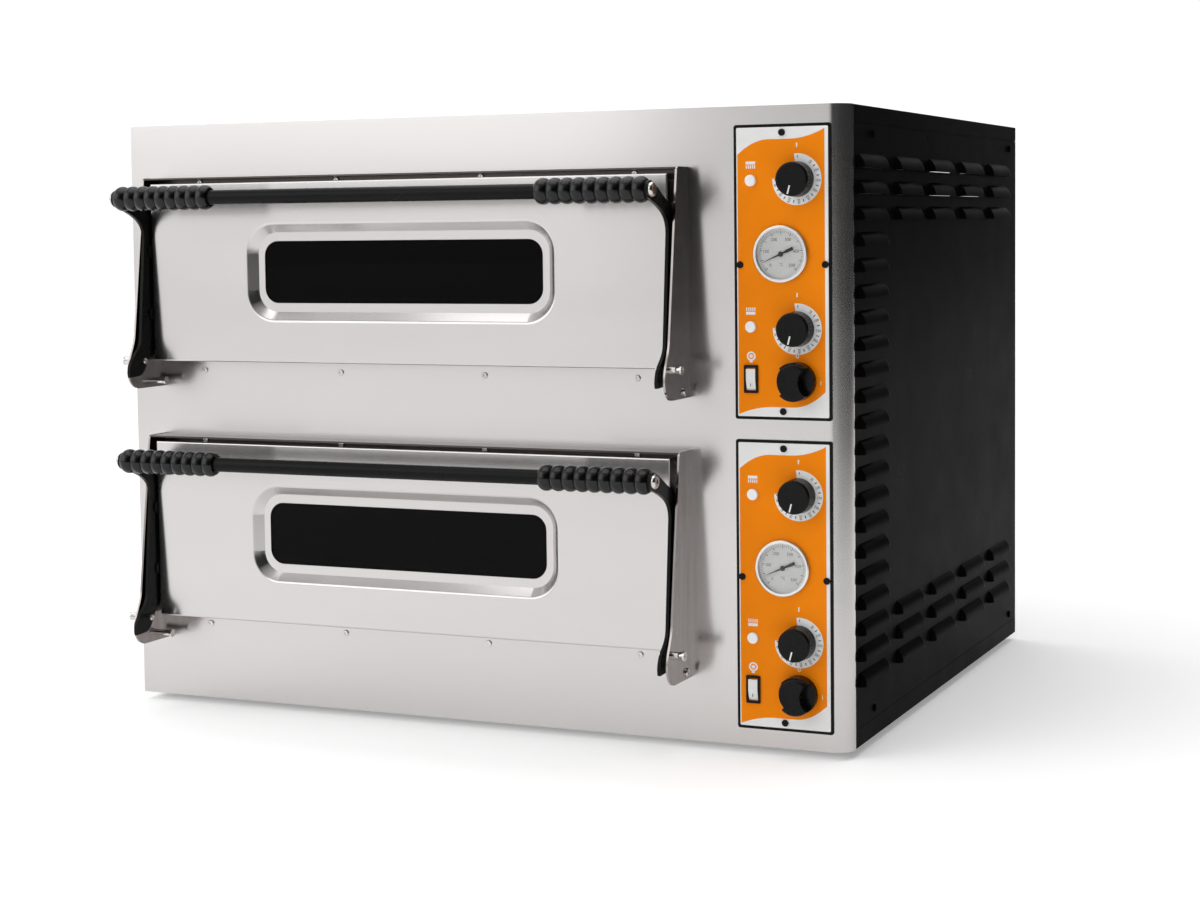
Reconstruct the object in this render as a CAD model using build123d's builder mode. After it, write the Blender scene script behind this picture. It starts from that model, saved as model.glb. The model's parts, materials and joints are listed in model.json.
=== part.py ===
from build123d import *
import os

# Countertop electric pizza oven with two stacked baking decks, each with a drop-down door and its own
# control plate. Millimetres: X to the right, Y to the back, Z up. The origin is at the middle of the
# whole oven's footprint, on the surface that its feet stand on.

os.makedirs("parts", exist_ok=True)

# ---------------------------------------------------------------- casing
CASING_W = 975.0
CASING_D = 812.0
CASING_H = 745.0
SHEET = 1.5                 # all folded sheet steel
SEAM = 0.5                  # gap between neighbouring casing sheets
CORNER_R = 22.0             # rounded right-hand corner of the fascia
WRAP = 24.0                 # how far the fascia wraps back at its edges
COVER_SKIRT = 20.0
TRAY_SKIRT = 22.0
FLANGE_H = 24.0             # hidden flanges that the side and back panels are screwed to
FOOT_H = 10.0
FOOT_D = 40.0
FOOT_INSET = 72.0
LOUVRE_L = 112.0
LOUVRE_H = 16.0
LOUVRE_RISE = 8.0
LOUVRE_PITCH_Z = 30.1
LOUVRE_PITCH_Y = 152.5
LOUVRE_ROWS = 21
LOUVRE_COLUMNS = 5
GLAND_REACH = 22.0          # cable gland behind the back panel

# ---------------------------------------------------------------- decks
DECK_PITCH = 331.0
HINGE_RISE = 443.5          # upper hinge axis above the casing's underside
DECK_CENTRE = 411.0         # middle of the doors from the casing's left side
CHAMBER_W = 660.0
CHAMBER_D = 660.0
CHAMBER_H = 195.0           # with the element spaces under the stones and over the mouth
MOUTH_H = 140.0
STONE_T = 14.0
STONE_W = 326.0
STONE_D = 640.0
INSULATION_T = 50.0
HEATER_D = 8.0
HEATER_L = 560.0
HEATER_W = 78.0             # between the legs of one hairpin
HEATER_PITCH = 156.0
HEATERS_ACROSS = 4

# Heights above the hinge axis
MOUTH_Z = 112.5             # middle of the mouth and of the window
CHAMBER_FLOOR_Z = 2.5
DOOR_BOTTOM_Z = -1.0
HANDLE_Z = 206.5
LIP_Z = 231.0
LIP_SCREW_Z = 226.8
SILL_SCREW_Z = -14.5
STUD_Z = -27.5
CHEEK_TOP_Z = 233.5
CHEEK_BOTTOM_Z = -35.8

# Distances ahead of the fascia
HINGE_REACH = 60.0
DOOR_REACH = 35.0
ROD_REACH = 100.0
STUD_REACH = 19.0
LIP_REACH = 34.8

DOOR_W = 716.8
DOOR_H = 227.0
DOOR_GAP = 4.5              # between the door's rim and the fascia
PLUG_GAP = 1.0              # between the door's pressed plug and the fascia
GLASS_T = 4.0
WINDOW_W = 427.4            # pressed window recess at the door's face
WINDOW_H = 122.0
RECESS_DEPTH = 10.0
RECESS_SLOPE = 47.7         # lean of the recess walls, degrees
GLASS_W = 387.7
GLASS_H = 78.0
GLASS_R = 19.0

CHEEK_INNER = 367.9         # from the deck's centre plane
CHEEK_T = 2.5
ARM_INNER = 360.4
ARM_T = 4.0
PIN_R = 4.0
RUNNING = 0.05              # radial clearance of a turning fit
ROD_D = 18.0
GRIP_D = 31.0
GRIP_L = 137.0
GRIP_RIBS = 9
GRIP_GROOVE = 3.4           # depth between the ribs
EYE_R = 10.5                # arm's eye at the end of the rod
HANDLE_SCREW_R = 8.5

# ---------------------------------------------------------------- controls
PLATE_W = 117.5
PLATE_H = 339.5
PLATE_T = 2.0
PLATE_CENTRE = 897.75       # from the casing's left side
PLATE_RISE = 553.75         # middle of the upper plate above the casing's underside
PLATE_PITCH = 363.0
PLATE_BORDER = 3.5
LABEL_T = 0.6
CUTOUT_W = 96.0
CUTOUT_H = 316.0
KNOB_D = 41.0
KNOB_L = 20.0
SELECTOR_D = 45.0
SPINDLE_R = 3.0
GAUGE_D = 66.0
GAUGE_BODY_R = 30.0
GAUGE_BEZEL = 4.5
GAUGE_WELL = 5.5            # from the bezel's front to the dial
LAMP_D = 13.5
ROCKER_W = 17.0
ROCKER_H = 32.5
ROCKER_TILT = 7.0           # the paddle's lean either side of upright

# ---------------------------------------------------------------- screw heads
CASING_SCREW_D = 9.0
CASING_SCREW_H = 2.4
STRIP_SCREW_D = 8.0
PLATE_SCREW_D = 8.0

# Places on a control plate, from the plate's centre: (right, up)
TOP_KNOB_AT = (18.0, 106.3)
BOTTOM_KNOB_AT = (17.5, -64.8)
SELECTOR_AT = (17.5, -124.8)
GAUGE_AT = (-1.8, 21.2)
LAMPS_AT = ((-38.0, 105.7), (-38.8, -62.6))
ROCKER_AT = (-38.7, -123.0)
PLATE_SCREWS_AT = ((0.0, 160.0), (0.0, -160.0), (-51.5, 9.0), (51.5, 9.0))

# ---------------------------------------------------------------- places that follow
LEFT = (CASING_SCREW_H - CASING_W - LOUVRE_RISE) / 2
RIGHT = LEFT + CASING_W
REACH = ROD_REACH + GRIP_D / 2
FRONT = REACH - (REACH + CASING_D + GLAND_REACH) / 2
BACK = FRONT + CASING_D
BASE = FOOT_H
TOP = BASE + CASING_H
DECK_X = LEFT + DECK_CENTRE
PLATE_X = LEFT + PLATE_CENTRE
HINGE_Z = {"upper": BASE + HINGE_RISE, "lower": BASE + HINGE_RISE - DECK_PITCH}
PLATE_Z = {"upper": BASE + PLATE_RISE, "lower": BASE + PLATE_RISE - PLATE_PITCH}
HINGE_Y = FRONT - HINGE_REACH
DOOR_Y = FRONT - DOOR_REACH
ROD_Y = FRONT - ROD_REACH
PLATE_FACE = FRONT - PLATE_T
LABEL_FACE = PLATE_FACE - LABEL_T
ROCKER_PIVOT_Y = LABEL_FACE + 4.0
DECK_MIRROR = Plane.YZ.offset(DECK_X)
STRIP_SCREWS_X = [DECK_X + step * 101.3 for step in (-3, -1, 1, 3)]
CHAMBER_BACK = FRONT + SHEET + CHAMBER_D
HEATER_Z = {"top": CHAMBER_FLOOR_Z + CHAMBER_H - 10.0, "bottom": CHAMBER_FLOOR_Z + 11.0}
LAMP_Y = FRONT + 520.0
LAMP_R = 22.0
GLAND_X = RIGHT - 110.0
GLAND_Z = BASE + 130.0
GLAND_BORE_R = 7.0


def finish(piece, label):
    piece.part.label = label
    export_step(piece.part, f"parts/{label}.step")


def facing_front(y):
    """Plane at depth y whose X is right, whose Y is up and whose normal points forwards."""
    return Plane.XZ.offset(-y)


def facing_back(y):
    """Plane at depth y whose normal points backwards; its X runs to the left."""
    return Plane(origin=(0, y, 0), x_dir=(-1, 0, 0), z_dir=(0, 1, 0))


def pan_head_screw(head_d, head_h, shank_l):
    """Cross-recess screw that stands on Z = 0, its shank downwards."""
    with BuildPart() as screw:
        with BuildSketch():
            Circle(head_d / 2)
        extrude(amount=head_h)
        fillet(screw.faces().sort_by(Axis.Z)[-1].edges(), head_h * 0.45)
        with BuildSketch(Plane.XY.offset(head_h)):
            Rectangle(head_d * 0.5, head_d * 0.13)
            Rectangle(head_d * 0.13, head_d * 0.5)
        extrude(amount=-head_h * 0.5, mode=Mode.SUBTRACT)
        with BuildSketch():
            Circle(head_d * 0.24)
        extrude(amount=-shank_l)
    return screw.part


# ---------------------------------------------------------------- casing sheets
def fascia_plan(inset):
    """Plan of the fascia, drawn inside its outer face by `inset`; round at its right-hand corner."""
    radius = CORNER_R - inset
    centre = (RIGHT - CORNER_R, FRONT + CORNER_R)
    with BuildSketch() as plan:
        with BuildLine():
            Polyline((LEFT + inset, FRONT + WRAP), (LEFT + inset, FRONT + inset), (centre[0], FRONT + inset))
            CenterArc(centre, radius, -90, 90)
            Polyline((centre[0] + radius, centre[1]), (centre[0] + radius, FRONT + WRAP))
            Line((centre[0] + radius, FRONT + WRAP), (LEFT + inset, FRONT + WRAP))
        make_face()
    return plan.sketch


def make_front_panel():
    outside = fascia_plan(0)
    inside = fascia_plan(SHEET)
    with BuildPart() as front_panel:
        with BuildSketch(Plane.XY.offset(BASE)):
            add(outside)
            add(inside, mode=Mode.SUBTRACT)
        extrude(amount=CASING_H)
        with BuildSketch(Plane.XY.offset(BASE), Plane.XY.offset(TOP - SHEET)):
            add(outside)
        extrude(amount=SHEET)
        with BuildSketch(facing_front(FRONT)):
            with Locations(*[(DECK_X, hinge_z + MOUTH_Z) for hinge_z in HINGE_Z.values()]):
                Rectangle(CHAMBER_W, MOUTH_H)
            with Locations(*[(PLATE_X, plate_z) for plate_z in PLATE_Z.values()]):
                RectangleRounded(CUTOUT_W, CUTOUT_H, 3)
            with Locations(*strip_screw_places(LIP_SCREW_Z), *strip_screw_places(SILL_SCREW_Z)):
                Circle(STRIP_SCREW_D * 0.24)
            with Locations(*plate_screw_places()):
                Circle(PLATE_SCREW_D * 0.24)
        extrude(amount=-SHEET, mode=Mode.SUBTRACT)
    finish(front_panel, "front_panel")


def hood(rise, height, half_l):
    """One louvre hood standing out of X = 0: an arched hood with domed ends, its flat mouth at Z = 0."""
    arch_r = (rise ** 2 + height ** 2) / (2 * rise)
    with BuildPart() as solid:
        with BuildSketch(Plane.XZ) as section:
            with BuildLine():
                RadiusArc((rise, 0), (0, height), -arch_r)
                Polyline((0, height), (0, 0), (rise, 0))
            make_face()
        extrude(amount=half_l - rise, both=True)
        for end in (-1, 1):
            with BuildSketch(Plane.XZ.offset(-end * (half_l - rise))):
                add(section.sketch_local)
            revolve(axis=Axis((0, end * (half_l - rise), 0), (0, 0, 1)), revolution_arc=end * 90)
    return solid.part


def louvre_places():
    """Lower front corners of the louvres: a full front column, and three rows at the top and bottom."""
    first_y = FRONT + 90.0
    top_z = BASE + 673.0
    places = []
    for column in range(LOUVRE_COLUMNS):
        for row in range(LOUVRE_ROWS):
            if column == 0 or row < 3 or row >= LOUVRE_ROWS - 3:
                places.append((first_y + column * LOUVRE_PITCH_Y, top_z - row * LOUVRE_PITCH_Z))
    return places


def make_side_panels():
    panel_y = (FRONT + WRAP + SEAM + BACK) / 2
    panel_z = (BASE + TRAY_SKIRT + TOP - COVER_SKIRT) / 2
    panel_h = CASING_H - TRAY_SKIRT - COVER_SKIRT - 2 * SEAM
    outer_hood = hood(LOUVRE_RISE, LOUVRE_H, LOUVRE_L / 2)
    inner_hood = hood(LOUVRE_RISE - SHEET, LOUVRE_H - 1.5 * SHEET, LOUVRE_L / 2 - SHEET)
    with BuildPart() as right_side_panel:
        with BuildSketch(Plane.YZ.offset(RIGHT - SHEET)):
            with Locations((panel_y, panel_z)):
                Rectangle(CASING_D - WRAP - SEAM, panel_h)
            with Locations(*side_screw_places()):
                Circle(CASING_SCREW_D * 0.24, mode=Mode.SUBTRACT)
        extrude(amount=SHEET)
        with Locations(*[(RIGHT, y, z) for y, z in louvre_places()]):
            add(outer_hood)
        with Locations(*[(RIGHT, y, z) for y, z in louvre_places()]):
            add(inner_hood, mode=Mode.SUBTRACT)
            Box(2 * SHEET, LOUVRE_L - 4 * SHEET, LOUVRE_H / 2, mode=Mode.SUBTRACT,
                align=(Align.MAX, Align.CENTER, Align.MIN))
    finish(right_side_panel, "right_side_panel")
    with BuildPart() as left_side_panel:
        with BuildSketch(Plane.YZ.offset(LEFT)):
            with Locations((panel_y, panel_z)):
                Rectangle(CASING_D - WRAP - SEAM, panel_h)
            with Locations(*side_screw_places()):
                Circle(CASING_SCREW_D * 0.24, mode=Mode.SUBTRACT)
        extrude(amount=SHEET)
    finish(left_side_panel, "left_side_panel")


def make_back_panel():
    panel_z = (BASE + TRAY_SKIRT + TOP - COVER_SKIRT) / 2
    with BuildPart() as back_panel:
        with BuildSketch(facing_back(BACK)):
            with Locations((-(LEFT + RIGHT) / 2, panel_z)):
                Rectangle(CASING_W - 2 * SHEET - 2 * SEAM, CASING_H - TRAY_SKIRT - COVER_SKIRT - 2 * SEAM)
            with Locations((-GLAND_X, BASE + 640.0), (-GLAND_X, BASE + 330.0)):
                with GridLocations(0, 12, 1, 8):
                    SlotOverall(110, 5, mode=Mode.SUBTRACT)
            with Locations((-GLAND_X, GLAND_Z)):
                Circle(20, mode=Mode.SUBTRACT)
            with Locations(*back_screw_places()):
                Circle(CASING_SCREW_D * 0.24, mode=Mode.SUBTRACT)
            with Locations(*cover_screw_places()):
                Circle(CASING_SCREW_D * 0.24, mode=Mode.SUBTRACT)
        extrude(amount=-SHEET)
    finish(back_panel, "back_panel")


def make_cover_and_tray():
    """The top cover and the base tray: shallow pans with hidden inner flanges for the panel screws."""
    depth = BACK - FRONT - WRAP - SEAM
    y_mid = (FRONT + WRAP + SEAM + BACK) / 2
    x_mid = (LEFT + RIGHT) / 2
    pans = (("top_cover", TOP, COVER_SKIRT, -1), ("base_tray", BASE, TRAY_SKIRT, 1))
    for label, outer_z, skirt, away in pans:
        flange_l = skirt + FLANGE_H
        inner = SHEET * 2
        with BuildPart() as pan:
            with BuildSketch(Plane.XY.offset(outer_z)):
                with Locations((x_mid, y_mid)):
                    Rectangle(CASING_W, depth)
            extrude(amount=away * skirt)
            rim = pan.faces().sort_by(Axis.Z)[0 if away > 0 else -1].edges()
            fillet(rim, 1.2)
            with BuildSketch(Plane.XY.offset(outer_z + away * SHEET)):
                with Locations((x_mid, y_mid)):
                    Rectangle(CASING_W - 2 * SHEET, depth - 2 * SHEET)
            extrude(amount=away * skirt, mode=Mode.SUBTRACT)
            with BuildSketch(Plane.XY.offset(outer_z + away * SHEET)):
                with Locations((x_mid, y_mid)):
                    Rectangle(CASING_W - 2 * SHEET, depth - 2 * SHEET)
                    Rectangle(CASING_W - 2 * inner, depth - 2 * inner, mode=Mode.SUBTRACT)
                with Locations((x_mid, y_mid - depth / 2)):
                    Rectangle(CASING_W, 8 * SHEET, mode=Mode.SUBTRACT)
            extrude(amount=away * (flange_l - SHEET))
            with BuildSketch(Plane.YZ.offset(LEFT - 1)):
                with Locations(*side_screw_places()):
                    Circle(CASING_SCREW_D * 0.24)
            extrude(amount=CASING_W + 2, mode=Mode.SUBTRACT)
            with BuildSketch(facing_back(BACK - inner - 1)):
                with Locations(*back_screw_places()):
                    Circle(CASING_SCREW_D * 0.24)
            extrude(amount=inner + 2, mode=Mode.SUBTRACT)
        finish(pan, label)


def foot_places():
    return [(x, y) for x in (LEFT + FOOT_INSET, RIGHT - FOOT_INSET)
            for y in (FRONT + FOOT_INSET, BACK - FOOT_INSET)]


def make_feet():
    with BuildPart() as feet:
        with BuildSketch():
            with Locations(*foot_places()):
                Circle(FOOT_D / 2 - 2)
        extrude(amount=FOOT_H, taper=-6)
        fillet(feet.faces().group_by(Axis.Z)[0].edges(), 1.5)
    finish(feet, "feet")


# ---------------------------------------------------------------- screws
def side_screw_places():
    """Four screws near the corners of each side panel, as (y, z)."""
    low = BASE + TRAY_SKIRT + FLANGE_H / 2
    high = TOP - COVER_SKIRT - FLANGE_H / 2
    return [(y, z) for y in (FRONT + 98.0, BACK - 40.0) for z in (low, high)]


def back_screw_places():
    """Six screws along the top and bottom of the back panel, in the plane that faces back."""
    low = BASE + TRAY_SKIRT + FLANGE_H / 2
    high = TOP - COVER_SKIRT - FLANGE_H / 2
    return [(-(LEFT + RIGHT) / 2 + step * 440.0, z) for step in (-1, 0, 1) for z in (low, high)]


def cover_screw_places():
    """Four screws of the terminal cover, in the plane that faces back."""
    return [(-GLAND_X + dx, GLAND_Z + dz) for dx in (-62.0, 62.0) for dz in (-42.0, 42.0)]


def strip_screw_places(row_z):
    """One row of screws on each deck, `row_z` above its hinge axis."""
    return [(x, hinge_z + row_z) for hinge_z in HINGE_Z.values() for x in STRIP_SCREWS_X]


def plate_screw_places():
    return [(PLATE_X + dx, plate_z + dz) for plate_z in PLATE_Z.values() for dx, dz in PLATE_SCREWS_AT]


def on_face(face, places, lift=0.0):
    """Locations of flat (x, y) places on a face plane, `lift` above it."""
    return [face.location * Location((x, y, lift)) for x, y in places]


def make_casing_screws():
    screw = pan_head_screw(CASING_SCREW_D, CASING_SCREW_H, 6.0)
    left_face = Plane(origin=(LEFT, 0, 0), x_dir=(0, -1, 0), z_dir=(-1, 0, 0))
    with BuildPart() as casing_screws:
        with Locations(*on_face(Plane.YZ.offset(RIGHT), side_screw_places())):
            add(screw)
        with Locations(*on_face(left_face, [(-y, z) for y, z in side_screw_places()])):
            add(screw)
        with Locations(*on_face(facing_back(BACK), back_screw_places())):
            add(screw)
        with Locations(*on_face(facing_back(BACK + PLATE_T), cover_screw_places())):
            add(screw)
    finish(casing_screws, "casing_screws")


def make_fascia_screws():
    """Screws of the lips, seated on their flanges, and the row under each door, seated on the fascia."""
    lip_screw = pan_head_screw(STRIP_SCREW_D, 2.0, 4.2)
    sill_screw = pan_head_screw(STRIP_SCREW_D, 2.0, 2.8)
    fascia = facing_front(FRONT)
    with BuildPart() as fascia_screws:
        with Locations(*on_face(fascia, strip_screw_places(LIP_SCREW_Z), SHEET)):
            add(lip_screw)
        with Locations(*on_face(fascia, strip_screw_places(SILL_SCREW_Z))):
            add(sill_screw)
    finish(fascia_screws, "fascia_screws")


def make_plate_screws():
    screw = pan_head_screw(PLATE_SCREW_D, 1.8, 8.0)
    with BuildPart() as plate_screws:
        with Locations(*on_face(facing_front(LABEL_FACE), plate_screw_places())):
            add(screw)
    finish(plate_screws, "plate_screws")


# ---------------------------------------------------------------- inside and back of the casing
def make_compartment_wall():
    """Upright sheet between the insulated decks and the control compartment."""
    x = DECK_X + CHAMBER_W / 2 + SHEET + INSULATION_T + 12.0
    gap = 3 * SHEET
    with BuildPart() as compartment_wall:
        with BuildSketch(Plane.YZ.offset(x)):
            with Locations(((FRONT + WRAP + BACK) / 2, (BASE + TOP) / 2)):
                Rectangle(CASING_D - WRAP - 2 * gap, CASING_H - 2 * SHEET)
            with Locations(*[(LAMP_Y, hinge_z + MOUTH_Z) for hinge_z in HINGE_Z.values()]):
                Circle(LAMP_R + 2, mode=Mode.SUBTRACT)
        extrude(amount=SHEET)
    finish(compartment_wall, "compartment_wall")


def make_terminal_cover():
    with BuildPart() as terminal_cover:
        with BuildSketch(facing_back(BACK)):
            with Locations((-GLAND_X, GLAND_Z)):
                RectangleRounded(150, 110, 4)
                Circle(12.5, mode=Mode.SUBTRACT)
            with Locations(*cover_screw_places()):
                Circle(CASING_SCREW_D * 0.24, mode=Mode.SUBTRACT)
        extrude(amount=PLATE_T)
    finish(terminal_cover, "terminal_cover")


def make_cable_gland():
    """Inlet gland: threaded neck through the terminal cover, hexagon and domed clamping nut."""
    with BuildPart() as cable_gland:
        with BuildSketch(facing_back(BACK - 12)):
            with Locations((-GLAND_X, GLAND_Z)):
                Circle(12.5)
        extrude(amount=12 + PLATE_T)
        with BuildSketch(facing_back(BACK + PLATE_T)):
            with Locations((-GLAND_X, GLAND_Z)):
                RegularPolygon(16.5, 6)
        extrude(amount=7)
        with BuildSketch(facing_back(BACK + PLATE_T + 7)):
            with Locations((-GLAND_X, GLAND_Z)):
                Circle(14)
        extrude(amount=GLAND_REACH - PLATE_T - 7)
        fillet(cable_gland.faces().sort_by(Axis.Y)[-1].edges(), 4)
        with BuildSketch(facing_back(BACK - 13)):
            with Locations((-GLAND_X, GLAND_Z)):
                Circle(GLAND_BORE_R)
        extrude(amount=40, mode=Mode.SUBTRACT)
    finish(cable_gland, "cable_gland")


# ---------------------------------------------------------------- one deck's fixed pieces
def heater_columns():
    """Middle of each hairpin element across a chamber."""
    middle = (HEATERS_ACROSS - 1) / 2
    return [DECK_X + (column - middle) * HEATER_PITCH for column in range(HEATERS_ACROSS)]


def heater_tails(hinge_z):
    """Where the legs of one deck's elements pass through the chamber's back wall, as (x, z)."""
    return [(x + leg * HEATER_W / 2, hinge_z + rise) for rise in HEATER_Z.values() for x in heater_columns()
            for leg in (-1, 1)]


def make_chamber(deck, hinge_z):
    """Baking chamber: five-sided liner with a welded front flange and rails under the stones."""
    floor_z = hinge_z + CHAMBER_FLOOR_Z
    front = FRONT + SHEET
    centre_z = floor_z + CHAMBER_H / 2
    rail_h = hinge_z + MOUTH_Z - MOUTH_H / 2 - STONE_T - floor_z
    with BuildPart() as chamber:
        with BuildSketch(facing_front(front)):
            with Locations((DECK_X, centre_z)):
                Rectangle(CHAMBER_W + 2 * SHEET, CHAMBER_H + 2 * SHEET)
        extrude(amount=-(CHAMBER_D + SHEET))
        with BuildSketch(facing_front(front)):
            with Locations((DECK_X, centre_z)):
                Rectangle(CHAMBER_W + 30, CHAMBER_H + 30)
        extrude(amount=-SHEET)
        with BuildSketch(facing_front(front)):
            with Locations((DECK_X, centre_z)):
                Rectangle(CHAMBER_W, CHAMBER_H)
        extrude(amount=-CHAMBER_D, mode=Mode.SUBTRACT)
        with BuildSketch(facing_front(front + 10)):
            for side in (-1, 1):
                with Locations((DECK_X + side * CHAMBER_W / 2, floor_z + rail_h)):
                    Rectangle(36, SHEET, align=(Align.CENTER, Align.MAX))
            with Locations((DECK_X, floor_z + rail_h)):
                Rectangle(24, SHEET, align=(Align.CENTER, Align.MAX))
                Rectangle(SHEET, rail_h, align=(Align.CENTER, Align.MAX))
            with Locations((DECK_X, centre_z)):
                Rectangle(CHAMBER_W + SHEET, CHAMBER_H + SHEET, mode=Mode.INTERSECT)
        extrude(amount=-(CHAMBER_D - 20))
        with BuildSketch(facing_front(CHAMBER_BACK + 2 * SHEET)):
            with Locations(*heater_tails(hinge_z)):
                Circle(HEATER_D / 2 + 0.5)
        extrude(amount=4 * SHEET, mode=Mode.SUBTRACT)
        with BuildSketch(Plane.YZ.offset(DECK_X + CHAMBER_W / 2 - 1)):
            with Locations((LAMP_Y, hinge_z + MOUTH_Z)):
                Circle(LAMP_R)
        extrude(amount=2 + SHEET, mode=Mode.SUBTRACT)
    finish(chamber, f"{deck}_chamber")


def make_insulation():
    """Mineral wool blanket round each chamber, open at the front."""
    wrap = 2 * (SHEET + INSULATION_T)
    with BuildPart() as insulation:
        for hinge_z in HINGE_Z.values():
            centre_z = hinge_z + CHAMBER_FLOOR_Z + CHAMBER_H / 2
            with BuildSketch(facing_front(FRONT + 2 * SHEET)):
                with Locations((DECK_X, centre_z)):
                    Rectangle(CHAMBER_W + wrap, CHAMBER_H + wrap)
            extrude(amount=-(CHAMBER_D + INSULATION_T))
            with BuildSketch(facing_front(FRONT + 2 * SHEET)):
                with Locations((DECK_X, centre_z)):
                    Rectangle(CHAMBER_W + 2 * SHEET, CHAMBER_H + 2 * SHEET)
            extrude(amount=-CHAMBER_D, mode=Mode.SUBTRACT)
            with BuildSketch(facing_front(CHAMBER_BACK)):
                with Locations(*heater_tails(hinge_z)):
                    Circle(HEATER_D / 2 + 0.5)
            extrude(amount=-2 * INSULATION_T, mode=Mode.SUBTRACT)
            with BuildSketch(Plane.YZ.offset(DECK_X + CHAMBER_W / 2)):
                with Locations((LAMP_Y, hinge_z + MOUTH_Z)):
                    Circle(LAMP_R)
            extrude(amount=2 * INSULATION_T, mode=Mode.SUBTRACT)
    finish(insulation, "insulation")


def make_baking_stones():
    """Two refractory slabs side by side on each chamber's rails."""
    with BuildPart() as baking_stones:
        for hinge_z in HINGE_Z.values():
            with BuildSketch(Plane.XY.offset(hinge_z + MOUTH_Z - MOUTH_H / 2 - STONE_T)):
                with Locations((DECK_X, FRONT + SHEET + 12 + STONE_D / 2)):
                    with GridLocations(STONE_W + 2, 0, 2, 1):
                        RectangleRounded(STONE_W, STONE_D, 3)
            extrude(amount=STONE_T)
    finish(baking_stones, "baking_stones")


def make_heating_elements():
    """Sheathed hairpin elements over and under the stones, their tails through the back wall."""
    tail_y = CHAMBER_BACK + SHEET + INSULATION_T + 10
    with BuildPart() as heating_elements:
        for hinge_z in HINGE_Z.values():
            for rise in HEATER_Z.values():
                for x in heater_columns():
                    z = hinge_z + rise
                    left = x - HEATER_W / 2
                    right = x + HEATER_W / 2
                    bend_y = CHAMBER_BACK - HEATER_L
                    with BuildLine() as route:
                        FilletPolyline((left, tail_y, z), (left, bend_y, z), (right, bend_y, z),
                                       (right, tail_y, z), radius=30)
                    with BuildSketch(Plane(route.line @ 0, z_dir=route.line % 0)):
                        Circle(HEATER_D / 2)
                    sweep(path=route.line)
    finish(heating_elements, "heating_elements")


def make_chamber_lamps():
    """Chamber lamp in each right-hand chamber wall: glass cap, flange and lampholder barrel."""
    wall = DECK_X + CHAMBER_W / 2
    with BuildPart() as chamber_lamps:
        for hinge_z in HINGE_Z.values():
            with BuildSketch(Plane.YZ.offset(wall)):
                with Locations((LAMP_Y, hinge_z + MOUTH_Z)):
                    Circle(LAMP_R)
            extrude(amount=INSULATION_T + 30)
            with BuildSketch(Plane.YZ.offset(wall)):
                with Locations((LAMP_Y, hinge_z + MOUTH_Z)):
                    Circle(LAMP_R + 9)
            extrude(amount=-3)
            with BuildSketch(Plane.YZ.offset(wall - 3)):
                with Locations((LAMP_Y, hinge_z + MOUTH_Z)):
                    Circle(LAMP_R - 2)
            extrude(amount=-9, taper=12)
    finish(chamber_lamps, "chamber_lamps")


def make_cheeks(deck, hinge_z):
    """Pair of upright side brackets: leaning front edge, flared round foot, fixing flange at the fascia."""
    foot_r = 22.0
    toe = FRONT - 76.6
    knee = (FRONT - 61.0, hinge_z + 33.5)
    crown = (FRONT - 34.0, hinge_z + CHEEK_TOP_Z)
    belly = (toe, hinge_z + CHEEK_BOTTOM_Z + foot_r)
    heel = (toe + foot_r, hinge_z + CHEEK_BOTTOM_Z)
    with BuildPart() as cheeks:
        with BuildSketch(Plane.YZ.offset(DECK_X + CHEEK_INNER)) as outline:
            with BuildLine():
                Line(crown, knee)
                Spline(knee, (FRONT - 69.4, hinge_z + 10.5), belly, tangents=[(-0.134, -0.991), (0, -1)])
                CenterArc((heel[0], belly[1]), foot_r, 180, 90)
                Polyline(heel, (FRONT, heel[1]), (FRONT, crown[1]), crown)
            make_face()
            fillet(outline.vertices().group_by(Axis.Y)[-1].sort_by(Axis.X)[0], 5)
            with Locations((HINGE_Y, hinge_z)):
                Circle(PIN_R, mode=Mode.SUBTRACT)
            with Locations((FRONT - STUD_REACH, hinge_z + STUD_Z)):
                Circle(3, mode=Mode.SUBTRACT)
        extrude(amount=CHEEK_T)
        with BuildSketch(Plane.XY.offset(hinge_z + 3)):
            with Locations((DECK_X + CHEEK_INNER, FRONT)):
                Rectangle(9, SHEET, align=(Align.MAX, Align.MAX))
        extrude(amount=214)
        mirror(about=DECK_MIRROR)
    finish(cheeks, f"{deck}_cheeks")


def make_lip(deck, hinge_z):
    """Shelf over the door between the cheeks, with a flange screwed to the fascia."""
    with BuildPart() as lip:
        with BuildSketch(Plane.YZ.offset(DECK_X - CHEEK_INNER)):
            with Locations((FRONT, hinge_z + LIP_Z + 2)):
                Rectangle(LIP_REACH, 2, align=(Align.MAX, Align.MAX))
                Rectangle(SHEET, 14, align=(Align.MAX, Align.MAX))
        extrude(amount=2 * CHEEK_INNER)
        with BuildSketch(facing_front(FRONT + 1)):
            with Locations(*[(x, hinge_z + LIP_SCREW_Z) for x in STRIP_SCREWS_X]):
                Circle(STRIP_SCREW_D * 0.24)
        extrude(amount=4, mode=Mode.SUBTRACT)
    finish(lip, f"{deck}_lip")


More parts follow.
